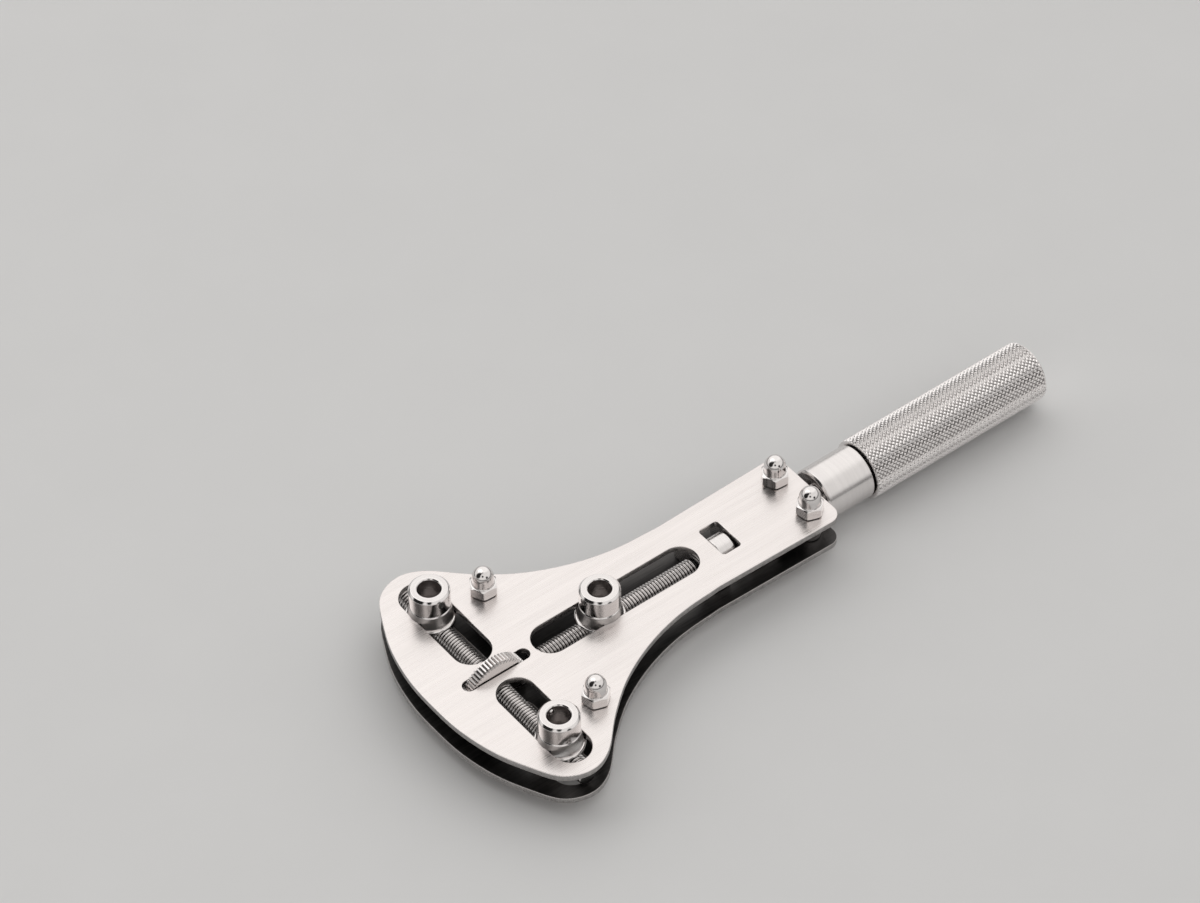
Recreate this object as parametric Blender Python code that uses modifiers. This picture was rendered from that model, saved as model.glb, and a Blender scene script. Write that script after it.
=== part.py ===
"""Case back opener: an adjustable two-plate wrench for screwed watch case backs.

Two identical steel plates are bolted together over four posts. A thumbwheel on a
left-and-right-hand screw spreads the two front jaws, and the handle turns a second
screw that moves the rear jaw. Each jaw is a turned bit holder that slides in a slot.

Lengths are in millimetres and are scaled to metres as the meshes are made. The
tool's own x runs from the front screw's axis towards the handle, y across the
tool, and z up from the surface that it stands on.
"""

import math

import bmesh
import bpy
from mathutils import Matrix, Vector

MM = 0.001
NAME = "case_back_opener"

# Heights
PLATE = 1.5
PLATE_GAP = 5.5
FOOT = 3.5
SEAT = 0.25
RUNNING = 0.3
BOTTOM_FACE = FOOT
BOTTOM_INNER = BOTTOM_FACE + PLATE
TOP_INNER = BOTTOM_INNER + PLATE_GAP
TOP_FACE = TOP_INNER + PLATE
SCREW_AXIS = (BOTTOM_INNER + TOP_INNER) / 2

# Plate outline, one side of the centre line, as (x, y)
FRONT_EDGE = -15.5
REAR_EDGE = 83.5
PLATE_SIDE = [
    (-15.5, 0.0), (-15.1, 8.5), (-13.3, 17.0), (-10.4, 24.0), (-6.3, 30.9), (-0.4, 33.3),
    (5.3, 31.3), (12.4, 24.5), (20.4, 18.4), (30.0, 13.9), (40.0, 11.4), (51.0, 10.6),
]
HANDLE_END_HALF_WIDTH = 11.15
CORNER_RADIUS = 3.0

# Slots: centre-to-centre span of the end arcs, and half-width
FRONT_SLOT = (7.8, 25.7, 4.34)
REAR_SLOT = (14.58, 48.48, 4.21)
WHEEL_SLOT = (-6.33, 7.44, 1.49)
WINDOW = (56.8, 61.7, 4.48, 0.8)

# Fasteners
BOLT_SPOTS = {
    "front_left": (11.6, 19.0),
    "front_right": (11.6, -19.0),
    "rear_left": (78.8, 5.8),
    "rear_right": (78.8, -5.8),
}
BOLT_RADIUS = 1.5
BOLT_HOLE = BOLT_RADIUS + RUNNING
HEAD_RADIUS = 2.75
HEAD_HEIGHT = 2.5
SOCKET_ACROSS_FLATS = 2.5
SOCKET_DEPTH = 1.4
WASHER_THICKNESS = 0.5
WASHER_RADIUS = 3.5
POST_RADIUS = 2.5
NUT_ACROSS_FLATS = 5.5
NUT_HEX_HEIGHT = 2.4
NUT_DOME_RADIUS = 2.35
NUT_HEIGHT = 6.45
NUT_THREAD_DEPTH = 4.6

# Front screw and thumbwheel
THREAD_RADIUS = 2.25
WHEEL_RADIUS = 7.55
WHEEL_THICKNESS = 2.6
WHEEL_TEETH = 56
TOOTH_DEPTH = 0.35
WHEEL_HUB_RADIUS = 2.6
FRONT_SCREW_HALF = 31.5

# Jaws
FRONT_JAW_Y = 21.92
REAR_JAW_X = 27.47
JAW_TOP = 6.3
JAW_RADIUS = 4.4
JAW_BORE = 2.45
JAW_BORE_FLOOR = -1.2
JAW_NECK = 3.92
JAW_GUIDE = 4.05
JAW_RIDE = 0.12
JAW_FLANGE = 5.4
JAW_BODY = 4.6
BALL_RADIUS = 0.75
BALL_HEIGHT = 4.8
BALL_OUT = 2.82
DETENT_HOLE = 0.85

# Rear screw, its bearings and the handle, as x along the tool
REAR_SCREW = (9.2, 52.0)
JOURNAL_RADIUS = 1.7
JOURNAL_END = 70.0
SHAFT_RADIUS = 2.5
SHAFT_END = 112.0
COLLAR = (57.1, 61.4, 4.0)
# Each block: its two faces, then its screws' place along and to each side of the tool
BEARINGS = {"front": (52.4, 56.5, 54.4, 4.9), "rear": (62.1, 69.4, 65.75, 4.9)}
BEARING_HALF_WIDTH = 6.9
BEARING_SCREW_RADIUS = 0.85
BEARING_SCREW_HEAD = 1.75
BEARING_SCREW_LENGTH = 4.6
FERRULE = (84.4, 96.5, 6.2)
GRIP = (96.9, 144.4, 7.0)
GRIP_BORE = 5.3
CAP_END = 145.0

# The frame's origin lies midway along the tool
FRONT_SCREW_X = -(FRONT_EDGE + CAP_END) / 2

ROUND = 28
SMALL_ROUND = 16


def clear_scene():
    """Remove everything that the file starts with."""
    for obj in list(bpy.data.objects):
        bpy.data.objects.remove(obj, do_unlink=True)
    for group in list(bpy.data.collections):
        bpy.data.collections.remove(group)


def new_collection(name):
    """Make a collection in the scene."""
    group = bpy.data.collections.new(name)
    bpy.context.scene.collection.children.link(group)
    return group


def new_material(name, colour, roughness, metallic=1.0):
    """Make a Principled material."""
    material = bpy.data.materials.new(name)
    material.use_nodes = True
    shader = material.node_tree.nodes["Principled BSDF"]
    shader.inputs["Base Color"].default_value = (*colour, 1.0)
    shader.inputs["Roughness"].default_value = roughness
    shader.inputs["Metallic"].default_value = metallic
    return material


clear_scene()
PARTS = new_collection(NAME)
CUTTERS = new_collection("cutters")
STEEL_PLATE = new_material("brushed_plate", (0.80, 0.79, 0.77), 0.32)
STEEL_POLISHED = new_material("polished_steel", (0.78, 0.77, 0.75), 0.12)
STEEL_SCREW = new_material("screw_steel", (0.72, 0.71, 0.70), 0.22)
STEEL_GRIP = new_material("knurled_steel", (0.76, 0.75, 0.73), 0.28)


def new_empty(name, x, y, z, parent=None):
    """Make an empty that a body's pieces hang from."""
    empty = bpy.data.objects.new(name, None)
    empty.location = Vector((x, y, z)) * MM
    empty.parent = parent
    PARTS.objects.link(empty)
    return empty


ORIGIN = new_empty("frame_origin", FRONT_SCREW_X, 0, 0)
FRAME = new_empty("frame_body", 0, 0, 0, ORIGIN)
WHEEL_AXIS = new_empty("wheel_axis", 0, 0, SCREW_AXIS, ORIGIN)
HANDLE_AXIS = new_empty("handle_axis", 0, 0, SCREW_AXIS, ORIGIN)


def add_part(name, data, material, parent, location=(0, 0, 0), rotation=(0, 0, 0)):
    """Put a sub-part in the collection, under the body that it belongs to."""
    part = bpy.data.objects.new(name, data)
    part.location = Vector(location) * MM
    part.rotation_euler = rotation
    part.parent = parent
    data.materials.append(material)
    PARTS.objects.link(part)
    return part


def add_cutter(name, data, location=(0, 0, 0), rotation=(0, 0, 0), parent=None):
    """Put a cutting shape in the cutters' collection."""
    cutter = bpy.data.objects.new(name, data)
    cutter.location = Vector(location) * MM
    cutter.rotation_euler = rotation
    cutter.parent = parent
    cutter.hide_render = True
    cutter.display_type = "WIRE"
    CUTTERS.objects.link(cutter)
    return cutter


def boolean(part, cutter, operation="DIFFERENCE"):
    """Cut or join a part with another shape."""
    modifier = part.modifiers.new(cutter.name, "BOOLEAN")
    modifier.operation = operation
    modifier.object = cutter


def profile_mesh(name, profile):
    """Make the line that a Screw modifier turns; points are (radius, height)."""
    mesh = bpy.data.meshes.new(name)
    points = [(radius * MM, 0, height * MM) for radius, height in profile]
    edges = [(i, i + 1) for i in range(len(points) - 1)]
    if profile[0][0] > 0:
        edges.append((len(points) - 1, 0))
    mesh.from_pydata(points, edges, [])
    return mesh


def add_turning(part, segments):
    """Turn a profile about the part's own Z."""
    screw = part.modifiers.new("turning", "SCREW")
    screw.axis = "Z"
    screw.steps = segments
    screw.render_steps = segments
    screw.use_merge_vertices = True
    screw.merge_threshold = 0.00001
    screw.use_smooth_shade = True


TO_X = (0, math.pi / 2, 0)
TO_Y = (-math.pi / 2, 0, 0)
TO_DOWN = (math.pi, 0, 0)


def turned(name, profile, material, parent, location=(0, 0, 0), rotation=(0, 0, 0), segments=ROUND):
    """Make a turned part; its outer side runs from top to bottom."""
    part = add_part(name, profile_mesh(name, profile), material, parent, location, rotation)
    add_turning(part, segments)
    return part


def ring_profile(outer, inner, low, high, edge=0.0):
    """A plain ring's section, with its outer corners broken by edge."""
    if edge:
        outside = [(outer - edge, high), (outer, high - edge), (outer, low + edge), (outer - edge, low)]
    else:
        outside = [(outer, high), (outer, low)]
    return outside + [(inner, low), (inner, high)]


def rod_profile(radius, low, high, edge=0.0):
    """A plain rod's section, with its ends' corners broken by edge."""
    if edge:
        side = [(radius - edge, high), (radius, high - edge), (radius, low + edge), (radius - edge, low)]
    else:
        side = [(radius, high), (radius, low)]
    return [(0, high)] + side + [(0, low)]


def round_cutter(name, radius, low, high, location=(0, 0, 0), rotation=(0, 0, 0), parent=None,
                 segments=SMALL_ROUND, top_radius=None):
    """Make a cylinder or cone that cuts a hole along its own Z."""
    mesh = bpy.data.meshes.new(name)
    shape = bmesh.new()
    middle = Matrix.Translation((0, 0, (low + high) / 2 * MM))
    end = radius if top_radius is None else top_radius
    bmesh.ops.create_cone(shape, cap_ends=True, segments=segments, radius1=radius * MM,
                          radius2=end * MM, depth=(high - low) * MM, matrix=middle)
    shape.to_mesh(mesh)
    shape.free()
    return add_cutter(name, mesh, location, rotation, parent)


def box_mesh(name, low, high):
    """Make a box between two corners."""
    mesh = bpy.data.meshes.new(name)
    shape = bmesh.new()
    size = Vector(high) - Vector(low)
    middle = (Vector(high) + Vector(low)) / 2
    scale = Matrix.Diagonal((*(size * MM), 1))
    bmesh.ops.create_cube(shape, size=1, matrix=Matrix.Translation(middle * MM) @ scale)
    shape.to_mesh(mesh)
    shape.free()
    return mesh


def hexagon_radius(across_flats):
    """The corner radius of a hexagon."""
    return across_flats / 2 / math.cos(math.radians(30))


def arc(centre, radius, start, end, steps):
    """Points along an arc, with angles in degrees."""
    turn = [math.radians(start + (end - start) * i / steps) for i in range(steps + 1)]
    return [(centre[0] + radius * math.cos(a), centre[1] + radius * math.sin(a)) for a in turn]


def smooth_line(points, steps):
    """Points along a Catmull-Rom curve through the given ones, ends included."""
    first = (2 * points[0][0] - points[1][0], 2 * points[0][1] - points[1][1])
    last = (2 * points[-1][0] - points[-2][0], 2 * points[-1][1] - points[-2][1])
    chain = [Vector(p) for p in [first] + points + [last]]
    line = []
    for i in range(1, len(chain) - 2):
        before, start, end, after = chain[i - 1:i + 3]
        for step in range(steps):
            t = step / steps
            line.append(0.5 * (2 * start + (end - before) * t
                               + (2 * before - 5 * start + 4 * end - after) * t * t
                               + (3 * start - before - 3 * end + after) * t * t * t))
    return [tuple(p) for p in line] + [points[-1]]


def plate_outline():
    """The plate's closed outline: two mirrored sides and the squared handle end."""
    mirrored_start = (PLATE_SIDE[1][0], -PLATE_SIDE[1][1])
    side = smooth_line([mirrored_start] + PLATE_SIDE, 4)[4:]
    corner = (REAR_EDGE - CORNER_RADIUS, HANDLE_END_HALF_WIDTH - CORNER_RADIUS)
    upper = side + arc(corner, CORNER_RADIUS, 90, 0, 6)
    lower = [(x, -y) for x, y in reversed(upper)]
    return upper + lower[:-1]


def obround(start, end, half_width, along_y=False, steps=16):
    """A slot's outline between two arc centres on the x or the y axis."""
    points = arc((end, 0), half_width, -90, 90, steps) + arc((start, 0), half_width, 90, 270, steps)
    if along_y:
        return [(y, x) for x, y in points]
    return points


def window_outline():
    """The rounded rectangle that shows the thrust collar."""
    low, high, half, radius = WINDOW
    corners = [(high - radius, half - radius, 0), (low + radius, half - radius, 90),
               (low + radius, radius - half, 180), (high - radius, radius - half, 270)]
    points = []
    for x, y, start in corners:
        points += arc((x, y), radius, start, start + 90, 4)
    return points


def plate_mesh(name):
    """Fill the plate's outline around its slots and bolt holes, as a mesh."""
    inner, outer, half = FRONT_SLOT
    outlines = [
        plate_outline(),
        obround(inner, outer, half, along_y=True),
        obround(-outer, -inner, half, along_y=True),
        obround(*REAR_SLOT),
        obround(*WHEEL_SLOT, steps=8),
        window_outline(),
    ]
    for spot in BOLT_SPOTS.values():
        outlines.append(arc(spot, BOLT_HOLE, 0, 360 - 360 / SMALL_ROUND, SMALL_ROUND - 1))
    curve = bpy.data.curves.new(name, "CURVE")
    curve.dimensions = "2D"
    curve.fill_mode = "BOTH"
    curve.extrude = PLATE / 2 * MM
    for outline in outlines:
        spline = curve.splines.new("POLY")
        spline.points.add(len(outline) - 1)
        for point, (x, y) in zip(spline.points, outline):
            point.co = (x * MM, y * MM, 0, 1)
        spline.use_cyclic_u = True
    drawing = bpy.data.objects.new(name, curve)
    bpy.context.scene.collection.objects.link(drawing)
    evaluated = drawing.evaluated_get(bpy.context.evaluated_depsgraph_get())
    mesh = bpy.data.meshes.new_from_object(evaluated)
    bpy.data.objects.remove(drawing, do_unlink=True)
    bpy.data.curves.remove(curve)
    shape = bmesh.new()
    shape.from_mesh(mesh)
    bmesh.ops.remove_doubles(shape, verts=shape.verts, dist=0.000001)
    shape.to_mesh(mesh)
    shape.free()
    return mesh


def build_plates():
    """The top plate, and the bottom plate with countersinks for the bearing screws."""
    add_part("top_plate", plate_mesh("top_plate"), STEEL_PLATE, FRAME,
             (0, 0, TOP_INNER + PLATE / 2))
    bottom = add_part("bottom_plate", plate_mesh("bottom_plate"), STEEL_PLATE, FRAME,
                      (0, 0, BOTTOM_INNER - PLATE / 2))
    for side, sign in (("left", 1), ("right", -1)):
        for place, (low, high, x, y) in BEARINGS.items():
            spot = (x, sign * y, BOTTOM_FACE)
            radius = BEARING_SCREW_RADIUS + RUNNING
            hole = round_cutter(f"cut_hole_{place}_{side}", radius, -1, 3, spot, parent=FRAME)
            sink = round_cutter(f"cut_sink_{place}_{side}", BEARING_SCREW_HEAD + 1, -0.5, 1.1, spot,
                                parent=FRAME, top_radius=radius)
            boolean(bottom, hole)
            boolean(bottom, sink)


def build_bolts():
    """The four through bolts, each with its washer, spacer post and cap nut."""
    hexagon = hexagon_radius(NUT_ACROSS_FLATS)
    dome_base = NUT_HEIGHT - NUT_DOME_RADIUS
    dome = [(NUT_DOME_RADIUS * math.sin(math.radians(a)),
             dome_base + NUT_DOME_RADIUS * math.cos(math.radians(a))) for a in range(0, 91, 18)]
    nut_profile = dome + [
        (NUT_DOME_RADIUS, NUT_HEX_HEIGHT), (hexagon - 0.45, NUT_HEX_HEIGHT),
        (hexagon, NUT_HEX_HEIGHT - 0.26), (hexagon, 0), (BOLT_HOLE, 0),
        (BOLT_HOLE, NUT_THREAD_DEPTH - 0.5), (0, NUT_THREAD_DEPTH),
    ]
    bolt_top = TOP_FACE + SEAT + NUT_THREAD_DEPTH - 0.9
    bolt_profile = [
        (0, bolt_top), (BOLT_RADIUS - 0.3, bolt_top), (BOLT_RADIUS, bolt_top - 0.3),
        (BOLT_RADIUS, HEAD_HEIGHT), (HEAD_RADIUS - 0.2, HEAD_HEIGHT),
        (HEAD_RADIUS, HEAD_HEIGHT - 0.2), (HEAD_RADIUS, 0.25), (HEAD_RADIUS - 0.25, 0), (0, 0),
    ]
    washer_low = HEAD_HEIGHT + SEAT
    for place, (x, y) in BOLT_SPOTS.items():
        prism = round_cutter(f"cut_hexagon_{place}", hexagon, -1, NUT_HEIGHT + 1,
                             (x, y, TOP_FACE + SEAT), parent=FRAME, segments=6)
        nut = turned(f"cap_nut_{place}", nut_profile, STEEL_POLISHED, FRAME,
                     (x, y, TOP_FACE + SEAT), segments=18)
        boolean(nut, prism, "INTERSECT")
        socket = round_cutter(f"cut_socket_{place}", hexagon_radius(SOCKET_ACROSS_FLATS),
                              -0.5, SOCKET_DEPTH, (x, y, 0), parent=FRAME, segments=6)
        bolt = turned(f"cap_screw_{place}", bolt_profile, STEEL_SCREW, FRAME, (x, y, 0),
                      segments=SMALL_ROUND)
        boolean(bolt, socket)
        turned(f"washer_{place}",
               ring_profile(WASHER_RADIUS, BOLT_HOLE, washer_low, washer_low + WASHER_THICKNESS),
               STEEL_SCREW, FRAME, (x, y, 0), segments=SMALL_ROUND)
        turned(f"spacer_post_{place}",
               ring_profile(POST_RADIUS, BOLT_HOLE, BOTTOM_INNER + SEAT, TOP_INNER - SEAT),
               STEEL_SCREW, FRAME, (x, y, 0), segments=SMALL_ROUND)


def build_bearings():
    """The two blocks that carry the rear screw, with their countersunk screws."""
    shank = BEARING_SCREW_RADIUS
    head = BEARING_SCREW_HEAD
    screw_profile = [
        (0, BEARING_SCREW_LENGTH), (shank, BEARING_SCREW_LENGTH), (shank, head - shank + 0.1),
        (head, 0.1), (0, 0.1),
    ]
    for place, (low, high, x, y) in BEARINGS.items():
        block = add_part(
            f"bearing_block_{place}",
            box_mesh(f"bearing_block_{place}", (low, -BEARING_HALF_WIDTH, BOTTOM_INNER + SEAT),
                     (high, BEARING_HALF_WIDTH, TOP_INNER - SEAT)),
            STEEL_SCREW, FRAME)
        journal = round_cutter(f"cut_journal_{place}", JOURNAL_RADIUS + SEAT, low - 1, high + 1,
                               (0, 0, SCREW_AXIS), TO_X, FRAME, segments=24)
        boolean(block, journal)
        for side, sign in (("left", 1), ("right", -1)):
            tapped = round_cutter(f"cut_tapped_{place}_{side}", shank + RUNNING, -1,
                                  BEARING_SCREW_LENGTH + 0.6, (x, sign * y, BOTTOM_FACE),
                                  parent=FRAME)
            boolean(block, tapped)
            screw = turned(f"bearing_screw_{place}_{side}", screw_profile, STEEL_SCREW, FRAME,
                           (x, sign * y, BOTTOM_FACE), segments=SMALL_ROUND)
            slot = add_cutter(f"cut_driver_{place}_{side}",
                              box_mesh("driver_slot", (-3, -0.3, -0.5), (3, 0.3, 0.65)),
                              (x, sign * y, BOTTOM_FACE), parent=FRAME)
            boolean(screw, slot)


def thumbwheel_mesh(name):
    """A disc with straight pointed teeth around its rim."""
    mesh = bpy.data.meshes.new(name)
    shape = bmesh.new()
    bmesh.ops.create_cone(shape, cap_ends=True, segments=2 * WHEEL_TEETH, radius1=WHEEL_RADIUS * MM,
                          radius2=WHEEL_RADIUS * MM, depth=WHEEL_THICKNESS * MM)
    half_pitch = math.pi / WHEEL_TEETH
    for vertex in shape.verts:
        step = round(math.atan2(vertex.co.y, vertex.co.x) / half_pitch)
        if step % 2:
            vertex.co.xy *= (WHEEL_RADIUS - TOOTH_DEPTH) / WHEEL_RADIUS
    shape.to_mesh(mesh)
    shape.free()
    return mesh


def build_front_screw():
    """The thumbwheel and the screw that it turns."""
    half = WHEEL_THICKNESS / 2
    wheel = add_part("thumbwheel", thumbwheel_mesh("thumbwheel"), STEEL_SCREW, WHEEL_AXIS,
                     rotation=TO_Y)
    hub = round_cutter("cut_wheel_hub", WHEEL_HUB_RADIUS + RUNNING, -half - 1, half + 1,
                       rotation=TO_Y, parent=WHEEL_AXIS, segments=24)
    boolean(wheel, hub)
    end = FRONT_SCREW_HALF
    profile = [
        (0, end), (THREAD_RADIUS - 0.4, end), (THREAD_RADIUS, end - 0.4), (THREAD_RADIUS, half + 0.3),
        (WHEEL_HUB_RADIUS, half), (WHEEL_HUB_RADIUS, -half), (THREAD_RADIUS, -half - 0.3),
        (THREAD_RADIUS, 0.4 - end), (THREAD_RADIUS - 0.4, -end), (0, -end),
    ]
    turned("front_screw", profile, STEEL_SCREW, WHEEL_AXIS, rotation=TO_Y, segments=24)


def jaw_profile():
    """The bit holder's section, with heights from the screw's axis."""
    lift = TOP_FACE - SCREW_AXIS
    flange_top = TOP_INNER - SEAT - TOP_FACE
    body_low = BOTTOM_INNER + SEAT - TOP_FACE
    neck_low = BOTTOM_FACE + 0.2 - TOP_FACE
    section = [
        (0, JAW_BORE_FLOOR), (JAW_BORE, JAW_BORE_FLOOR), (JAW_BORE, JAW_TOP - 0.25),
        (JAW_BORE + 0.25, JAW_TOP), (JAW_RADIUS - 0.5, JAW_TOP), (JAW_RADIUS, JAW_TOP - 0.5),
        (JAW_RADIUS, 1.85), (JAW_RADIUS - 0.2, 1.7), (JAW_RADIUS - 0.1, 1.5),
        (JAW_RADIUS + 0.1, 0.6), (JAW_RADIUS + 0.4, -0.4), (JAW_FLANGE, flange_top),
        (JAW_FLANGE, flange_top - 0.8), (JAW_BODY, flange_top - 1.1), (JAW_BODY, body_low),
        (JAW_NECK, body_low), (JAW_NECK, neck_low + 0.3), (JAW_NECK - 0.3, neck_low), (0, neck_low),
    ]
    return [(radius, height + lift) for radius, height in section]


def build_jaw(side, x, y, turn):
    """One sliding jaw; turn points its own +X along the slot, towards the tool's middle."""
    carriage = new_empty(f"jaw_{side}_carriage", x, y, SCREW_AXIS, ORIGIN)
    carriage.rotation_euler = (0, 0, turn)
    lift = TOP_FACE - SCREW_AXIS
    holder = turned(f"jaw_{side}_holder", jaw_profile(), STEEL_POLISHED, carriage)
    tapped = round_cutter(f"cut_{side}_tapped", THREAD_RADIUS + RUNNING, -8, 8, rotation=TO_X,
                          parent=carriage, segments=20)
    boolean(holder, tapped)
    for edge, sign in (("near", -1), ("far", 1)):
        low, high = sorted((sign * JAW_GUIDE, sign * 7))
        flat = box_mesh(f"flat_{edge}", (-7, low, lift + TOP_INNER - SEAT - TOP_FACE),
                        (7, high, lift + JAW_RIDE))
        boolean(holder, add_cutter(f"cut_{side}_flat_{edge}", flat, parent=carriage))
    detent = round_cutter(f"cut_{side}_detent", DETENT_HOLE, 1.5, 6, (0, 0, lift + BALL_HEIGHT),
                          TO_X, carriage, segments=12)
    boolean(holder, detent)
    ball = bpy.data.meshes.new(f"jaw_{side}_ball")
    shape = bmesh.new()
    bmesh.ops.create_uvsphere(shape, u_segments=12, v_segments=8, radius=BALL_RADIUS * MM)
    shape.to_mesh(ball)
    shape.free()
    ball.shade_smooth()
    height = lift + BALL_HEIGHT
    add_part(f"jaw_{side}_ball", ball, STEEL_POLISHED, carriage, (BALL_OUT, 0, height))
    back = BALL_OUT + BALL_RADIUS
    turned(f"jaw_{side}_spring", ring_profile(0.6, 0.25, back + 0.05, back + 0.25), STEEL_SCREW,
           carriage, (0, 0, height), TO_X, 12)
    turned(f"jaw_{side}_plug", rod_profile(0.72, back + 0.3, back + 0.7), STEEL_SCREW,
           carriage, (0, 0, height), TO_X, 12)


def build_rear_screw():
    """The screw that moves the rear jaw, with its pinned thrust collar."""
    low, high = REAR_SCREW
    profile = [
        (0, SHAFT_END), (SHAFT_RADIUS - 0.3, SHAFT_END), (SHAFT_RADIUS, SHAFT_END - 0.3),
        (SHAFT_RADIUS, JOURNAL_END + 0.3), (JOURNAL_RADIUS, JOURNAL_END), (JOURNAL_RADIUS, high),
        (THREAD_RADIUS, high - 0.3), (THREAD_RADIUS, low + 0.4),
        (THREAD_RADIUS - 0.4, low), (0, low),
    ]
    screw = turned("rear_screw", profile, STEEL_SCREW, HANDLE_AXIS, rotation=TO_X, segments=24)
    start, end, radius = COLLAR
    collar = turned("thrust_collar", ring_profile(radius, JOURNAL_RADIUS + SEAT, start, end, 0.35),
                    STEEL_POLISHED, HANDLE_AXIS, rotation=TO_X)
    middle = (start + end) / 2
    drilled = round_cutter("cut_collar_pin", 0.85, -6, 6, (middle, 0, 0), TO_Y, HANDLE_AXIS, 16)
    boolean(screw, drilled)
    boolean(collar, drilled)
    turned("collar_pin", rod_profile(0.6, -3.7, 3.7, 0.1), STEEL_SCREW, HANDLE_AXIS,
           (middle, 0, 0), TO_Y, 16)


def build_handle():
    """The smooth ferrule, the knurled grip on its core, and the end cap."""
    bore = SHAFT_RADIUS + RUNNING
    start, end, radius = FERRULE
    ferrule_profile = [
        (radius - 0.6, end), (radius, end - 0.6), (radius, start + 0.4), (radius - 0.4, start),
        (bore, start), (bore, end),
    ]
    ferrule = turned("ferrule", ferrule_profile, STEEL_POLISHED, HANDLE_AXIS, rotation=TO_X)
    middle = (start + end) / 2
    tapped = round_cutter("cut_set_screw", 1.3, 1, 8, (middle, 0, 0), TO_DOWN, HANDLE_AXIS, 16)
    boolean(ferrule, tapped)
    turned("set_screw", rod_profile(1.0, bore, radius - 0.3, 0.15), STEEL_SCREW, HANDLE_AXIS,
           (middle, 0, 0), TO_DOWN, 16)
    start, end, radius = GRIP
    turned("knurled_grip", ring_profile(radius, GRIP_BORE, start, end, 0.5), STEEL_GRIP,
           HANDLE_AXIS, rotation=TO_X, segments=36)
    core = GRIP_BORE - RUNNING
    core_end = end - 4
    core_profile = [
        (0, core_end), (core, core_end), (core, start + 0.1), (bore, start + 0.1),
        (bore, SHAFT_END + 0.5), (0, SHAFT_END + 0.5),
    ]
    turned("grip_core", core_profile, STEEL_SCREW, HANDLE_AXIS, rotation=TO_X)
    cap_profile = [
        (0, CAP_END), (radius - 1.0, CAP_END), (radius - 0.8, CAP_END - 0.2),
        (radius - 0.8, end + SEAT), (core, end + SEAT), (core, core_end + SEAT),
        (0, core_end + SEAT),
    ]
    turned("end_cap", cap_profile, STEEL_POLISHED, HANDLE_AXIS, rotation=TO_X)


build_plates()
build_bolts()
build_bearings()
build_front_screw()
build_jaw("left", 0, FRONT_JAW_Y, -math.pi / 2)
build_jaw("right", 0, -FRONT_JAW_Y, math.pi / 2)
build_jaw("rear", REAR_JAW_X, 0, math.pi)
build_rear_screw()
build_handle()
bpy.context.view_layer.update()
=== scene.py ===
"""Case back opener: the finished look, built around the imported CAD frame.

Pieces that turn or slide are modelled about their own axis and then ride on their
CAD body. Lengths are in millimetres until a mesh is made, and places come from the
frame's nodes.
"""

import math

import bmesh
import bpy
from mathutils import Matrix, Vector


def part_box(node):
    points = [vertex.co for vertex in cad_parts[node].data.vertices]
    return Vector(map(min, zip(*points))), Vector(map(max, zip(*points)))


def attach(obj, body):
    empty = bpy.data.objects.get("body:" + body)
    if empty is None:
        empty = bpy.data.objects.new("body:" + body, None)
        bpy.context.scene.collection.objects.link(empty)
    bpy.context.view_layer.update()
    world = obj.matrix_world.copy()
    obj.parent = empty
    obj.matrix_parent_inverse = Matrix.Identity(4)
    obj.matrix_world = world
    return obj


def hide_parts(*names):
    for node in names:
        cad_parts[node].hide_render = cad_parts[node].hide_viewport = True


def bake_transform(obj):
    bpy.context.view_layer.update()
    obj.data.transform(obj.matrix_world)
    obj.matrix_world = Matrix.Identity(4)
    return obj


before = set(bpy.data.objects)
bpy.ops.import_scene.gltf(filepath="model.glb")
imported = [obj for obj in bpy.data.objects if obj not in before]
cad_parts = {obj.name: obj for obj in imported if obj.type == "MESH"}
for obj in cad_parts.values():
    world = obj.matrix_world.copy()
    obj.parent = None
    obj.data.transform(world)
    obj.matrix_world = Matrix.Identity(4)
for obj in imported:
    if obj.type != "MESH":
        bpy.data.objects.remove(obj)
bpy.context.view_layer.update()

MM = 0.001

# Axes that a turned piece can lie along, as turns of its own Z
UP = (0, 0, 0)
DOWN = (math.pi, 0, 0)
ALONG_X = (0, math.pi / 2, 0)
ALONG_Y = (-math.pi / 2, 0, 0)

# Sides of a turned piece, from the smoothest down, and the angles that stay sharp
FINE = 96
MEDIUM = 64
FASTENER = 48
SMALL = 32
SHARP_ANGLE = math.radians(34)
THREAD_SHARP_ANGLE = math.radians(70)

# Threads and knurling, and how dark the painted shade at the bottom of a groove gets
PITCH = 0.75
THREAD_RADIUS = 2.25
THREAD_DEPTH = 0.46
THREAD_STEPS = 10
THREAD_SIDES = 48
DIAMONDS_AROUND = 40
DIAMOND_LENGTH = 1.10
DIAMOND_DEPTH = 0.30
GRIP_RADIUS = 7.0
PAINTED_GROOVE_SHADE = 0.05

# Camera, fitted to the photograph's view of the tool with the picture's scale assumed
LENS = 150.0
SENSOR = 36.0
CAMERA_AZIMUTH = math.radians(37.01)
CAMERA_ELEVATION = math.radians(46.26)
CAMERA_ROLL = math.radians(-1.24)
CAMERA_TARGET = Vector((-9.744, 35.405, 12.0)) * MM
CAMERA_DISTANCE = 1063.83 * MM


def middle(node):
    """A node's middle at rest, in millimetres."""
    low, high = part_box(node)
    return (Vector(low) + Vector(high)) / 2 / MM


def half_size(node):
    """Half of a node's size along each axis, in millimetres."""
    low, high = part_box(node)
    return (Vector(high) - Vector(low)) / 2 / MM


def low_corner(node):
    """A node's lowest corner, in millimetres."""
    return Vector(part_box(node)[0]) / MM


def high_corner(node):
    """A node's highest corner, in millimetres."""
    return Vector(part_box(node)[1]) / MM


SCREW_AXIS = middle("front_screw").z
FRONT_X = middle("front_screw").x


# ---------------------------------------------------------------- materials

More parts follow.
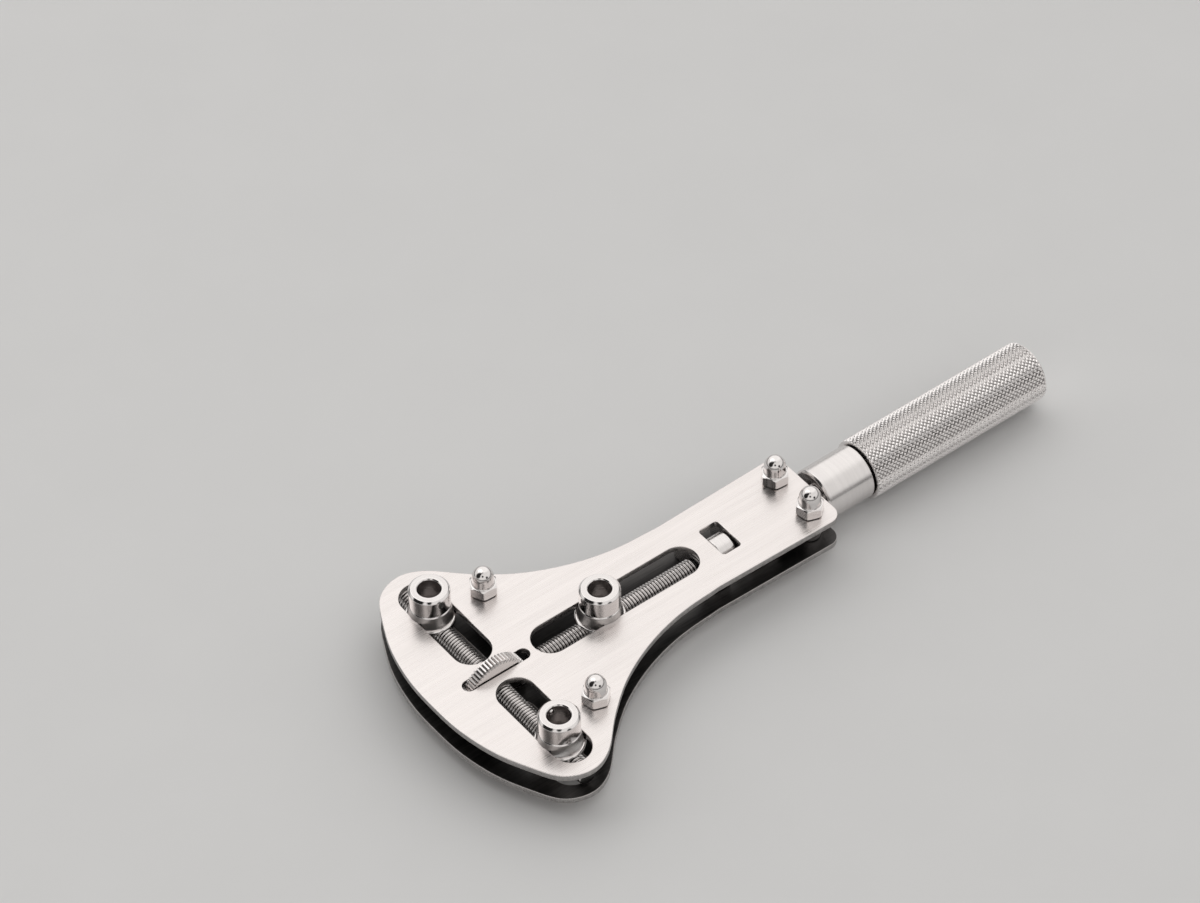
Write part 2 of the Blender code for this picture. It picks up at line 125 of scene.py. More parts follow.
def link(tree, start, output, end, socket):
    """Join one node's output to another node's input."""
    tree.links.new(start.outputs[output], end.inputs[socket])


def math_node(tree, operation, first, second=None):
    """A Math node fed by two sockets or numbers."""
    node = tree.nodes.new("ShaderNodeMath")
    node.operation = operation
    for index, value in enumerate((first, second)):
        if isinstance(value, (int, float)):
            node.inputs[index].default_value = value
        elif value is not None:
            tree.links.new(value, node.inputs[index])
    return node.outputs[0]


def noise(tree, vector, scale, detail=3.0, roughness=0.55):
    """A noise texture's value over a vector."""
    node = tree.nodes.new("ShaderNodeTexNoise")
    node.inputs["Scale"].default_value = scale
    node.inputs["Detail"].default_value = detail
    node.inputs["Roughness"].default_value = roughness
    tree.links.new(vector, node.inputs["Vector"])
    return node.outputs[0]


def spread(tree, value, low, high, start=0.3, end=0.7):
    """Map a noise value from its usual middle range to low..high."""
    node = tree.nodes.new("ShaderNodeMapRange")
    node.inputs["From Min"].default_value = start
    node.inputs["From Max"].default_value = end
    node.inputs["To Min"].default_value = low
    node.inputs["To Max"].default_value = high
    tree.links.new(value, node.inputs["Value"])
    return node.outputs["Result"]


def blend_colours(tree, factor, first, second):
    """Blend two colours by a factor."""
    node = tree.nodes.new("ShaderNodeMix")
    node.data_type = "RGBA"
    tree.links.new(factor, node.inputs["Factor"])
    node.inputs["A"].default_value = (*first, 1.0)
    node.inputs["B"].default_value = (*second, 1.0)
    return node.outputs["Result"]


def brushed_vector(tree, across, along):
    """Coordinates stretched into grain that runs along X."""
    place = tree.nodes.new("ShaderNodeTexCoord")
    stretch = tree.nodes.new("ShaderNodeMapping")
    stretch.inputs["Scale"].default_value = (along, across, across)
    link(tree, place, "Object", stretch, "Vector")
    return stretch.outputs[0]


def axis_distance(tree):
    """The distance from a piece's own Z, and the place along it, as sockets."""
    place = tree.nodes.new("ShaderNodeTexCoord")
    parts = tree.nodes.new("ShaderNodeSeparateXYZ")
    link(tree, place, "Object", parts, 0)
    x_squared = math_node(tree, "MULTIPLY", parts.outputs["X"], parts.outputs["X"])
    y_squared = math_node(tree, "MULTIPLY", parts.outputs["Y"], parts.outputs["Y"])
    radius = math_node(tree, "SQRT", math_node(tree, "ADD", x_squared, y_squared))
    return radius, parts.outputs["Z"]


def paint_groove_shade(tree, colour, groove_shade_radii):
    """Paint shade into a colour: darker towards the bottom of grooves round a piece's own Z."""
    depth = tree.nodes.new("ShaderNodeMapRange")
    depth.interpolation_type = "SMOOTHSTEP"
    for socket, value in (("From Min", groove_shade_radii[0]), ("From Max", groove_shade_radii[1]), ("To Min", PAINTED_GROOVE_SHADE)):
        depth.inputs[socket].default_value = value
    tree.links.new(axis_distance(tree)[0], depth.inputs["Value"])
    shade = tree.nodes.new("ShaderNodeVectorMath")
    shade.operation = "SCALE"
    tree.links.new(colour, shade.inputs[0])
    tree.links.new(depth.outputs["Result"], shade.inputs["Scale"])
    return shade.outputs[0]


def turned_vector(tree, across):
    """Coordinates that draw rings round a piece's own Z."""
    radius, along = axis_distance(tree)
    rings = tree.nodes.new("ShaderNodeCombineXYZ")
    tree.links.new(math_node(tree, "MULTIPLY", radius, across), rings.inputs["X"])
    tree.links.new(math_node(tree, "MULTIPLY", along, across), rings.inputs["Z"])
    return rings.outputs[0]


def new_steel(name, light, dark, rough, grain, height, stretch=None, smear=0.0, groove_shade_radii=None):
    """Steel with tool marks: brushed along X where stretch is given, otherwise turned.

    light and dark are its two tones, rough its lowest and highest roughness, grain the
    marks' fineness across them in cycles per metre, and height their depth in metres.
    smear draws reflections out across turned marks. groove_shade_radii is a pair of radii in metres:
    painted shade darkens the steel from the second down to the first, in the grooves.
    """
    material = bpy.data.materials.new(name)
    material.use_nodes = True
    tree = material.node_tree
    shader = tree.nodes["Principled BSDF"]
    shader.inputs["Metallic"].default_value = 1.0
    if stretch:
        marks = brushed_vector(tree, grain, stretch)
        broad = brushed_vector(tree, grain / 7, stretch / 2)
    else:
        marks = turned_vector(tree, grain)
        broad = turned_vector(tree, grain / 5)
    fine = noise(tree, marks, 1.0, 4.0, 0.65)
    bands = noise(tree, broad, 1.0, 2.0)
    place = tree.nodes.new("ShaderNodeTexCoord")
    smudges = noise(tree, place.outputs["Object"], 90.0, 2.0)
    tone = math_node(tree, "ADD", math_node(tree, "MULTIPLY", fine, 0.6),
                     math_node(tree, "MULTIPLY", bands, 0.4))
    colour = blend_colours(tree, spread(tree, tone, 0.0, 1.0, 0.35, 0.65), dark, light)
    # Painted shade: the colour darkens towards the bottom of the grooves
    if groove_shade_radii:
        colour = paint_groove_shade(tree, colour, groove_shade_radii)
    tree.links.new(colour, shader.inputs["Base Color"])
    if smear:
        shader.inputs["Anisotropic"].default_value = smear
        around = tree.nodes.new("ShaderNodeTangent")
        around.direction_type = "RADIAL"
        around.axis = "Z"
        link(tree, around, 0, shader, "Tangent")
    grainy = spread(tree, fine, rough[0], rough[1])
    worn = spread(tree, smudges, -0.02, 0.03)
    tree.links.new(math_node(tree, "ADD", grainy, worn), shader.inputs["Roughness"])
    bump = tree.nodes.new("ShaderNodeBump")
    bump.inputs["Strength"].default_value = 1.0
    bump.inputs["Distance"].default_value = height
    tree.links.new(fine, bump.inputs["Height"])
    link(tree, bump, "Normal", shader, "Normal")
    return material


def plain_floor():
    """The pale floor's material: matt, with the faintest mottling."""
    material = bpy.data.materials.new("studio_floor")
    material.use_nodes = True
    tree = material.node_tree
    shader = tree.nodes["Principled BSDF"]
    shader.inputs["Roughness"].default_value = 0.75
    shader.inputs["Specular IOR Level"].default_value = 0.2
    place = tree.nodes.new("ShaderNodeTexCoord")
    mottle = noise(tree, place.outputs["Object"], 40.0)
    colour = blend_colours(tree, mottle, (0.70, 0.70, 0.70), (0.73, 0.73, 0.73))
    tree.links.new(colour, shader.inputs["Base Color"])
    return material


BRUSHED = new_steel("brushed_plate_steel", (0.83, 0.785, 0.77), (0.74, 0.70, 0.685),
                    (0.22, 0.36), 5200.0, 0.0000019, stretch=55.0)
POLISHED = new_steel("polished_turned_steel", (0.82, 0.79, 0.78), (0.72, 0.69, 0.68),
                     (0.11, 0.20), 5000.0, 0.0000006, smear=0.75)
BRIGHT = new_steel("bright_polished_steel", (0.84, 0.81, 0.80), (0.76, 0.73, 0.72),
                   (0.06, 0.11), 5000.0, 0.0000003)
TURNED = new_steel("turned_steel", (0.78, 0.755, 0.745), (0.64, 0.62, 0.61),
                   (0.20, 0.34), 5000.0, 0.0000016, smear=0.4)
SATIN = new_steel("satin_turned_steel", (0.74, 0.715, 0.705), (0.58, 0.56, 0.552),
                  (0.28, 0.40), 5000.0, 0.0000014, smear=0.8)
# Painted shade: near-black steel for the plates' facing inner sides and the wheel's tooth gullets,
# where shade falls between parts
INNER_SHADE_STEEL = new_steel("painted_shade_inner_steel", (0.12, 0.115, 0.113), (0.06, 0.058, 0.057),
                (0.30, 0.45), 2600.0, 0.0000020, stretch=120.0)
SHEARED = new_steel("sheared_edge_steel", (0.50, 0.48, 0.47), (0.30, 0.29, 0.283),
                    (0.22, 0.38), 2600.0, 0.0000030, stretch=900.0)
# A reamed finish inside the bit sockets, with painted shade: its darker colour stands for the shade in
# the bore
REAMED_SHADED_STEEL = new_steel("reamed_and_shaded_socket_steel", (0.62, 0.59, 0.58), (0.40, 0.38, 0.373),
                   (0.24, 0.36), 3200.0, 0.0000016, smear=0.6)
CUT = new_steel("cut_steel", (0.84, 0.81, 0.80), (0.70, 0.675, 0.665),
                (0.14, 0.26), 4200.0, 0.0000012)
# Thread and knurl steel carry painted shade in their grooves
THREADED = new_steel("cut_thread_steel", (0.88, 0.85, 0.84), (0.78, 0.75, 0.74),
                     (0.18, 0.30), 4200.0, 0.0000010,
                     groove_shade_radii=((THREAD_RADIUS - THREAD_DEPTH) * MM, (THREAD_RADIUS - 0.12) * MM))
KNURLED = new_steel("knurled_steel", (0.95, 0.92, 0.91), (0.84, 0.81, 0.80),
                    (0.16, 0.28), 3000.0, 0.0000010,
                    groove_shade_radii=((GRIP_RADIUS - 1.15 * DIAMOND_DEPTH) * MM, (GRIP_RADIUS - 0.17) * MM))


# ---------------------------------------------------------------- mesh tools

def to_mesh(name, shape):
    """Turn a bmesh in millimetres into a mesh in metres."""
    bmesh.ops.recalc_face_normals(shape, faces=shape.faces)
    bmesh.ops.scale(shape, vec=(MM, MM, MM), verts=shape.verts)
    mesh = bpy.data.meshes.new(name)
    shape.to_mesh(mesh)
    shape.free()
    return mesh


def soften(profile, radius, closed=False):
    """Round the corners of a section of (radius, height) points."""
    points = [Vector(point) for point in profile]
    count = len(points)
    result = []
    for i, corner in enumerate(points):
        if not closed and i in (0, count - 1):
            result.append(tuple(corner))
            continue
        before = points[i - 1] - corner
        after = points[(i + 1) % count] - corner
        if abs(before.angle(-after, 0.0)) < math.radians(12):
            result.append(tuple(corner))
            continue
        cut = min(radius, 0.4 * before.length, 0.4 * after.length)
        start = corner + before.normalized() * cut
        end = corner + after.normalized() * cut
        for t in (0.0, 0.3, 0.7, 1.0):
            result.append(tuple(start * (1 - t) ** 2 + corner * 2 * t * (1 - t) + end * t * t))
    return result


def lathe(name, profile, segments=MEDIUM, rounding=0.1):
    """Turn a section about Z. A section that starts off the axis is a closed ring."""
    ring_like = profile[0][0] > 0
    profile = soften(profile, rounding, closed=ring_like)
    shape = bmesh.new()
    rings = []
    for radius, height in profile:
        if radius < 0.001:
            rings.append([shape.verts.new((0, 0, height))])
            continue
        turn = [2 * math.pi * i / segments for i in range(segments)]
        rings.append([shape.verts.new((radius * math.cos(a), radius * math.sin(a), height))
                      for a in turn])
    pairs = list(zip(rings, rings[1:]))
    if ring_like:
        pairs.append((rings[-1], rings[0]))
    for first, second in pairs:
        for i in range(segments):
            j = (i + 1) % segments
            corners = [first[i % len(first)], second[i % len(second)],
                       second[j % len(second)], first[j % len(first)]]
            corners = list(dict.fromkeys(corners))
            if len(corners) > 2:
                shape.faces.new(corners)
    return to_mesh(name, shape)


def prism(name, outline, low, high, scale_low=1.0, scale_high=1.0):
    """A closed prism between two heights, over an outline of (x, y) points."""
    shape = bmesh.new()
    rings = [[shape.verts.new((x * scale, y * scale, z)) for x, y in outline]
             for z, scale in ((low, scale_low), (high, scale_high))]
    for i in range(len(outline)):
        j = (i + 1) % len(outline)
        shape.faces.new([rings[0][i], rings[0][j], rings[1][j], rings[1][i]])
    shape.faces.new(rings[0][::-1])
    shape.faces.new(rings[1])
    return to_mesh(name, shape)


def hexagon(across_flats, rounding=0.12, turn=0.0):
    """A hexagon's outline with rounded corners."""
    radius = across_flats / 2 / math.cos(math.radians(30))
    corners = [(radius * math.cos(math.radians(60 * i) + turn),
                radius * math.sin(math.radians(60 * i) + turn)) for i in range(6)]
    return soften(corners, rounding, closed=True)


def circle(radius, segments=SMALL):
    """A circle's outline."""
    turn = [2 * math.pi * i / segments for i in range(segments)]
    return [(radius * math.cos(a), radius * math.sin(a)) for a in turn]


def new_object(name, mesh, location=(0, 0, 0), rotation=UP):
    """Put a mesh in the scene; its location is in millimetres."""
    item = bpy.data.objects.new(name, mesh)
    item.location = Vector(location) * MM
    item.rotation_euler = rotation
    bpy.context.scene.collection.objects.link(item)
    return item


def carve(piece, mesh, location=(0, 0, 0), rotation=UP, operation="DIFFERENCE"):
    """Cut a piece with a mesh placed in world coordinates, and apply the cut."""
    cutter = new_object("cutter", mesh, location, rotation)
    modifier = piece.modifiers.new("carve", "BOOLEAN")
    modifier.operation = operation
    modifier.solver = "EXACT"
    modifier.object = cutter
    bpy.context.view_layer.update()
    evaluated = piece.evaluated_get(bpy.context.evaluated_depsgraph_get())
    result = bpy.data.meshes.new_from_object(evaluated)
    piece.modifiers.clear()
    piece.data = result
    bpy.data.objects.remove(cutter, do_unlink=True)


def finish_piece(piece, material, body, nodes, smooth=True, extra=(), ends=None,
                 sharp=SHARP_ANGLE):
    """Shade a piece, give it its material, and join it to the frame.

    extra holds further materials, each with a test that picks its faces. smooth is True,
    False, or "sides" to keep level faces flat, and sharp is the angle whose edges stay
    sharp. A piece given ends, its two ends' places in metres, has its placement baked into
    its mesh instead of being joined to a body; the places themselves are not used.
    """
    mesh = piece.data
    mesh.materials.clear()
    mesh.materials.append(material)
    for index, (other, belongs) in enumerate(extra, 1):
        mesh.materials.append(other)
        for face in mesh.polygons:
            if belongs(face):
                face.material_index = index
    if smooth == "sides":
        mesh.shade_smooth()
        mesh.set_sharp_from_angle(angle=sharp)
        for face in mesh.polygons:
            face.use_smooth = abs(face.normal.z) < 0.99
    elif smooth:
        mesh.shade_smooth()
        mesh.set_sharp_from_angle(angle=sharp)
        normals = piece.modifiers.new("normals", "WEIGHTED_NORMAL")
        normals.mode = "FACE_AREA"
        normals.keep_sharp = True
    else:
        mesh.shade_flat()
    if ends:
        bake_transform(piece)
    else:
        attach(piece, body)
    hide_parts(*nodes)


# ---------------------------------------------------------------- plates

EDGE_BREAK = 0.14

# The collar's window is drawn a little shorter than its CAD opening
WINDOW_SHARE = 0.96
WINDOW_REACH = 2.0


def upper_loops(node):
    """The closed outlines round a plate's upper face, as lists of points."""
    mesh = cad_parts[node].data
    spots = [(round(v.co.x / MM, 4), round(v.co.y / MM, 4)) for v in mesh.vertices]
    ahead = {}
    for face in mesh.polygons:
        if face.normal.z < 0.9:
            continue
        corners = [spots[i] for i in face.vertices]
        for start, end in zip(corners, corners[1:] + corners[:1]):
            ahead.setdefault(start, set()).add(end)
    edges = {start: [end for end in ends if start not in ahead.get(end, ())]
             for start, ends in ahead.items()}
    loops = []
    while any(edges.values()):
        start = next(spot for spot, ends in edges.items() if ends)
        loop = [start]
        spot = edges[start].pop()
        while spot != start:
            loop.append(spot)
            spot = edges[spot].pop()
        loops.append([Vector(point) for point in loop])
    return loops


def smooth_loop(points, steps=4):
    """Round a closed loop's curved stretches, and keep its long straight sides."""
    count = len(points)
    edges = [points[(i + 1) % count] - points[i] for i in range(count)]
    tangents = []
    for i in range(count):
        short, long = sorted((edges[i - 1], edges[i]), key=lambda edge: edge.length)
        if long.length > 3 * short.length:
            tangents.append(long.normalized())
        else:
            bend = edges[i - 1] / edges[i - 1].length_squared + edges[i] / edges[i].length_squared
            tangents.append(bend.normalized())
    result = []
    for i in range(count):
        start, end = points[i], points[(i + 1) % count]
        reach = edges[i].length
        leave, arrive = tangents[i] * reach, tangents[(i + 1) % count] * reach
        for step in range(steps):
            t = step / steps
            result.append(start * (2 * t ** 3 - 3 * t ** 2 + 1) + leave * (t ** 3 - 2 * t ** 2 + t)
                          + end * (3 * t ** 2 - 2 * t ** 3) + arrive * (t ** 3 - t ** 2))
    return result


def fit_window(loop):
    """Bring the collar window's two ends in towards the collar; leave other loops alone."""
    centre = sum(loop, Vector((0, 0))) / len(loop)
    if (centre - middle("thrust_collar").xy).length > WINDOW_REACH:
        return loop
    return [Vector((point.x, point.y * WINDOW_SHARE)) for point in loop]


def plate_mesh(name, loops, thickness):
    """Fill the outlines as a plate with lightly rounded edges, centred on z = 0."""
    curve = bpy.data.curves.new(name, "CURVE")
    curve.dimensions = "2D"
    curve.fill_mode = "BOTH"
    curve.extrude = (thickness / 2 - EDGE_BREAK) * MM
    curve.bevel_depth = EDGE_BREAK * MM
    curve.bevel_resolution = 1
    curve.offset = -EDGE_BREAK * MM
    for loop in loops:
        spline = curve.splines.new("POLY")
        spline.points.add(len(loop) - 1)
        for point, (x, y) in zip(spline.points, loop):
            point.co = (x * MM, y * MM, 0, 1)
        spline.use_cyclic_u = True
    drawing = bpy.data.objects.new(name, curve)
    bpy.context.scene.collection.objects.link(drawing)
    bpy.context.view_layer.update()
    evaluated = drawing.evaluated_get(bpy.context.evaluated_depsgraph_get())
    mesh = bpy.data.meshes.new_from_object(evaluated)
    bpy.data.objects.remove(drawing, do_unlink=True)
    bpy.data.curves.remove(curve)
    shape = bmesh.new()
    shape.from_mesh(mesh)
    bmesh.ops.remove_doubles(shape, verts=shape.verts, dist=0.000002)
    bmesh.ops.recalc_face_normals(shape, faces=shape.faces)
    shape.to_mesh(mesh)
    shape.free()
    return mesh


def build_plates():
    """Both plates, from the top one's outlines, and the bottom one's countersinks."""
    loops = [smooth_loop(fit_window(loop)) for loop in upper_loops("top_plate")]
    for node in ("top_plate", "bottom_plate"):
        thickness = 2 * half_size(node).z
        centre = middle(node).z
        piece = new_object(f"brushed_{node}", plate_mesh(node, loops, thickness), (0, 0, centre))
        if node == "bottom_plate":
            for screw in BEARING_SCREWS:
                spot = middle(screw)
                head = half_size(screw).x
                low = low_corner(node).z
                sink = prism("sink", circle(1.0), low - 0.5, low + 1.1, head + 1.0, 1.15)
                hole = prism("hole", circle(1.15), low - 1, low + 3)
                carve(piece, sink, (spot.x, spot.y, 0))
                carve(piece, hole, (spot.x, spot.y, 0))
        inward = -1 if node == "top_plate" else 1
        finish_piece(piece, BRUSHED, "frame", [node], smooth="sides", extra=[
            # the plates' inner sides, facing each other, are painted with shade
            (INNER_SHADE_STEEL, lambda face: face.normal.z * inward > 0.9),
            (SHEARED, lambda face: abs(face.normal.z) < 0.3)])


# ---------------------------------------------------------------- fasteners

CORNERS = [f"{place}_{side}" for place in ("front", "rear") for side in ("left", "right")]
BEARING_SCREWS = [f"bearing_screw_{corner}" for corner in CORNERS]

# How far each nut's corner is turned from the camera's side, in degrees, set one by one
NUT_TURN = {"front_left": 3, "front_right": -12, "rear_left": 2, "rear_right": -13}
CAMERA_SIDE = math.degrees(math.atan2(-math.cos(CAMERA_AZIMUTH), -math.sin(CAMERA_AZIMUTH)))


def build_cap_nut(corner):
    """A cap nut: a hexagon with a turned chamfer, a short neck and a polished dome."""
    node = f"cap_nut_{corner}"
    spot = middle(node)
    low = low_corner(node).z
    height = high_corner(node).z - low
    hex_height = 2.4
    dome = 2.35
    corner_radius = 3.18
    arch = [(dome * math.sin(math.radians(a)), height - dome + dome * math.cos(math.radians(a)))
            for a in range(0, 91, 6)]
    section = arch + [
        (dome, hex_height + 0.16), (dome + 0.12, hex_height), (2.62, hex_height),
        (corner_radius, hex_height - 0.33), (corner_radius, 0.2), (corner_radius - 0.25, 0),
        (1.8, 0), (1.8, 3.6), (0, 4.4),
    ]
    piece = new_object(node + "_polished", lathe(node, section, MEDIUM, 0.08),
                       (spot.x, spot.y, low))
    turn = math.radians(CAMERA_SIDE + NUT_TURN[corner])
    block = prism("hexagon", hexagon(5.5, 0.16, turn), -1, height + 1)
    carve(piece, block, (spot.x, spot.y, low), operation="INTERSECT")
    finish_piece(piece, BRIGHT, "frame", [node])


def build_bolt(corner):
    """A socket-head cap screw under the tool, with its washer and spacer post."""
    node = f"cap_screw_{corner}"
    spot = middle(node)
    top = high_corner(node).z
    head_height, head, shank = 2.5, 2.75, 1.5
    section = [(0, top), (shank - 0.3, top), (shank, top - 0.3), (shank, head_height),
               (head - 0.1, head_height), (head, head_height - 0.2), (head, 0.35),
               (head - 0.35, 0), (0, 0)]
    piece = new_object(node + "_turned", lathe(node, section, FASTENER, 0.12), (spot.x, spot.y, 0))
    carve(piece, prism("socket", hexagon(2.5, 0.05), -0.5, 1.4), (spot.x, spot.y, 0))
    carve(piece, prism("lead_in", circle(1.0), -0.05, 0.2, 1.62, 1.3), (spot.x, spot.y, 0))
    finish_piece(piece, TURNED, "frame", [node])
    for node, segments in ((f"washer_{corner}", FASTENER), (f"spacer_post_{corner}", MEDIUM)):
        low, high = low_corner(node).z, high_corner(node).z
        outer = half_size(node).x
        section = [(outer, high), (outer, low), (1.8, low), (1.8, high)]
        piece = new_object(node + "_turned", lathe(node, section, segments, 0.12), (spot.x, spot.y, 0))
        finish_piece(piece, TURNED, "frame", [node])


def build_bearing_screw(node):
    """A countersunk slotted screw under the bottom plate."""
    spot = middle(node)
    low, high = low_corner(node).z, high_corner(node).z
    head, shank = half_size(node).x, 0.85
    section = [(0, high), (shank - 0.15, high), (shank, high - 0.2), (shank, low + head - shank),
               (head, low + 0.06), (head - 0.06, low), (0, low)]
    piece = new_object(node + "_turned", lathe(node, section, FASTENER, 0.06), (spot.x, spot.y, 0))
    slit = prism("slit", [(-3, -0.28), (3, -0.28), (3, 0.28), (-3, 0.28)], low - 0.5, low + 0.6)
    carve(piece, slit, (spot.x, spot.y, 0), (0, 0, math.radians(24 * spot.y)))
    finish_piece(piece, TURNED, "frame", [node])


# ---------------------------------------------------------------- screws

def grid_rod(name, heights, radius_at, sides, split=None):
    """A rod about Z whose radius follows radius_at(height, turn), with flat ends.

    Where split is given, each square is cut in two along its more level diagonal.
    """
    shape = bmesh.new()
    turns = [2 * math.pi * i / sides for i in range(sides)]
    rings = [[shape.verts.new((radius_at(z, a) * math.cos(a), radius_at(z, a) * math.sin(a), z))
              for a in turns] for z in heights]
    for row in range(len(rings) - 1):
        for i in range(sides):
            j = (i + 1) % sides
            low_a, low_b = rings[row][i], rings[row][j]
            high_a, high_b = rings[row + 1][i], rings[row + 1][j]
            if not split:
                shape.faces.new([low_a, low_b, high_b, high_a])
                continue
            size = [math.hypot(v.co.x, v.co.y) for v in (low_a, low_b, high_b, high_a)]
            if abs(size[0] - size[2]) < abs(size[1] - size[3]):
                shape.faces.new([low_a, low_b, high_b])
                shape.faces.new([low_a, high_b, high_a])
            else:
                shape.faces.new([low_a, low_b, high_a])
                shape.faces.new([low_b, high_b, high_a])
    return shape, rings


def thread_radius(height, turn, hand):
    """The radius of a rounded thread; hand is 1 for a right-hand one."""
    phase = height / PITCH - hand * turn / (2 * math.pi)
    crest = 0.5 + 0.5 * math.cos(2 * math.pi * phase)
    return THREAD_RADIUS - THREAD_DEPTH * (1 - crest ** 0.7)


def thread_rows(start, end):
    """Heights that follow a thread closely."""
    count = max(2, round((end - start) / PITCH * THREAD_STEPS))
    return [start + (end - start) * i / count for i in range(count + 1)]


def build_front_screw():
    """The left-and-right-hand screw, with the plain hub that carries the thumbwheel."""
    end = half_size("front_screw").y
    hub, hub_half, runout = 2.6, 1.3, 0.5

    def radius_at(height, turn):
        away = abs(height)
        if away <= hub_half:
            return hub
        radius = thread_radius(height, turn, 1 if height > 0 else -1)
        if away < hub_half + runout:
            return min(radius, 2.0)
        return min(radius, THREAD_RADIUS - 0.55 + (end - away))

    rows = thread_rows(hub_half + 0.02, end)
    heights = [-z for z in reversed(rows)] + [-hub_half, hub_half] + rows
    shape, rings = grid_rod("front_screw", heights, radius_at, THREAD_SIDES)
    shape.faces.new(rings[0][::-1])
    shape.faces.new(rings[-1])
    piece = new_object("front_screw_threaded", to_mesh("front_screw", shape),
                       (FRONT_X, 0, SCREW_AXIS), ALONG_Y)
    finish_piece(piece, THREADED, "wheel", ["front_screw"], sharp=THREAD_SHARP_ANGLE)


def build_thumbwheel():
    """The thumbwheel: straight teeth with flat crests and broken edges."""
    radius = half_size("thumbwheel").z
    half = half_size("thumbwheel").y
    teeth, depth, bore = 56, 0.55, 2.75
    outline = []
    for tooth in range(teeth):
        for share, height in ((0.0, depth), (0.22, depth), (0.42, 0.0), (0.80, 0.0)):
            turn = 2 * math.pi * (tooth + share) / teeth
            outline.append((turn, radius - height))
    shape = bmesh.new()
    rings = []
    for z, inset in ((-half, 0.34), (-half + 0.22, 0.0), (half - 0.22, 0.0), (half, 0.34)):
        rings.append([shape.verts.new(((r - inset) * math.cos(a), (r - inset) * math.sin(a), z))
                      for a, r in outline])
    for r, z in ((bore, half), (bore, -half)):
        rings.append([shape.verts.new((r * math.cos(a), r * math.sin(a), z)) for a, _ in outline])
    for first, second in zip(rings, rings[1:] + rings[:1]):
        for i in range(len(outline)):
            j = (i + 1) % len(outline)
            shape.faces.new([first[i], first[j], second[j], second[i]])
    piece = new_object("thumbwheel_toothed", to_mesh("thumbwheel", shape),
                       (FRONT_X, 0, SCREW_AXIS), ALONG_Y)
    gullet = (radius - 0.8 * depth) * MM

    def in_gullet(face):
        return abs(face.normal.z) < 0.1 and 6 * MM < math.hypot(*face.center.xy) < gullet

    # the gullets between the teeth are painted with shade
    finish_piece(piece, CUT, "wheel", ["thumbwheel"], smooth=False,
                 extra=[(INNER_SHADE_STEEL, in_gullet)])


def build_rear_screw():
    """The rear screw: thread, journal and the shaft inside the handle, in one."""
    node = "rear_screw"
    start, end = low_corner(node).x - FRONT_X, high_corner(node).x - FRONT_X
    thread_end, journal, journal_end, shaft = 51.7, 1.7, 70.0, 2.5

    def radius_at(height, turn):
        if height > journal_end:
            return shaft
        if height > thread_end:
            return journal
        return min(thread_radius(height, turn, 1), THREAD_RADIUS - 0.55 + (height - start))

    heights = thread_rows(start, thread_end) + [thread_end + 0.1, journal_end, journal_end + 0.3, end]
    shape, rings = grid_rod(node, heights, radius_at, THREAD_SIDES)
    shape.faces.new(rings[0][::-1])
    shape.faces.new(rings[-1])
    piece = new_object("rear_screw_threaded", to_mesh(node, shape), (FRONT_X, 0, SCREW_AXIS), ALONG_X)
    finish_piece(piece, THREADED, "handle", [node], sharp=THREAD_SHARP_ANGLE)


# ---------------------------------------------------------------- jaws

def build_jaw(side, turn):
    """A bit holder; turn points its own +X along the slot, towards the tool's middle."""
    node = f"jaw_{side}_holder"
    spot = middle(node)
    lift = high_corner("top_plate").z - SCREW_AXIS
    top, socket, outer = high_corner(node).z - SCREW_AXIS, 2.45, 4.4
    bottom = low_corner(node).z - SCREW_AXIS
    flange, body, neck, guide = 5.4, 4.6, 3.92, 4.1
    section = [
        (0, lift - 1.6), (0.6, lift - 1.5), (socket, lift - 1.2), (socket, top - 0.25),
        (socket + 0.25, top), (outer - 0.5, top), (outer, top - 0.5), (outer, lift + 1.95),
        (outer - 0.22, lift + 1.75), (outer - 0.22, lift + 1.68), (outer + 0.02, lift + 1.44),
        (outer + 0.12, lift + 0.6), (outer + 0.4, lift - 0.4), (flange - 0.5, lift - 1.3),
        (flange - 0.5, lift - 1.55), (flange - 0.24, lift - 1.55), (flange, lift - 1.79),
        (flange, lift - 2.55), (body, lift - 2.85), (body, lift - 6.75), (neck, lift - 6.75),
        (neck, bottom + 0.3), (neck - 0.3, bottom), (0, bottom),
    ]
    piece = new_object(node + "_polished", lathe(node, section, FINE, 0.07),
                       (spot.x, spot.y, SCREW_AXIS), (0, 0, turn))
    along = {"left": ALONG_Y, "right": ALONG_Y, "rear": ALONG_X}[side]
    bore = prism("tapped", circle(THREAD_RADIUS + 0.3, FASTENER), -8, 8)
    carve(piece, bore, (spot.x, spot.y, SCREW_AXIS), along)
    for sign in (-1, 1):
        near, far = sorted((sign * guide, sign * 7))
        side_cut = prism("flat", [(-7, near), (7, near), (7, far), (-7, far)], lift - 1.75, lift + 0.05)
        carve(piece, side_cut, (spot.x, spot.y, SCREW_AXIS), (0, 0, turn))
    inward = Matrix.Rotation(turn, 3, "Z") @ Vector((1, 0, 0))
    hole_at = Vector((spot.x, spot.y, SCREW_AXIS + lift + 4.8)) + inward * 1.5
    hole = prism("detent", circle(0.85, SMALL), 0, 4.5)
    carve(piece, hole, hole_at, inward.to_track_quat("Z", "Y").to_euler())
    depth, rim, foot = (lift - 1.9) * MM, (top - 0.6) * MM, (flange - 0.55) * MM

    def in_socket(face):
        return face.center.z > depth and math.hypot(*face.center.xy) < (socket + 0.05) * MM

    def on_chamfer(face):
        at_rim = face.center.z > rim and face.normal.z < 0.97
        return face.normal.z > 0.2 and (at_rim or math.hypot(*face.center.xy) > foot)

    def on_flare(face):
        return 0.02 < face.normal.z < 0.6 and not in_socket(face) and not on_chamfer(face)

    # the socket's walls take the reamed steel with painted shade
    finish_piece(piece, POLISHED, f"jaw_{side}", [node],
                 extra=[(REAMED_SHADED_STEEL, in_socket), (BRIGHT, on_chamfer), (SATIN, on_flare)])
    build_detent(side, inward)


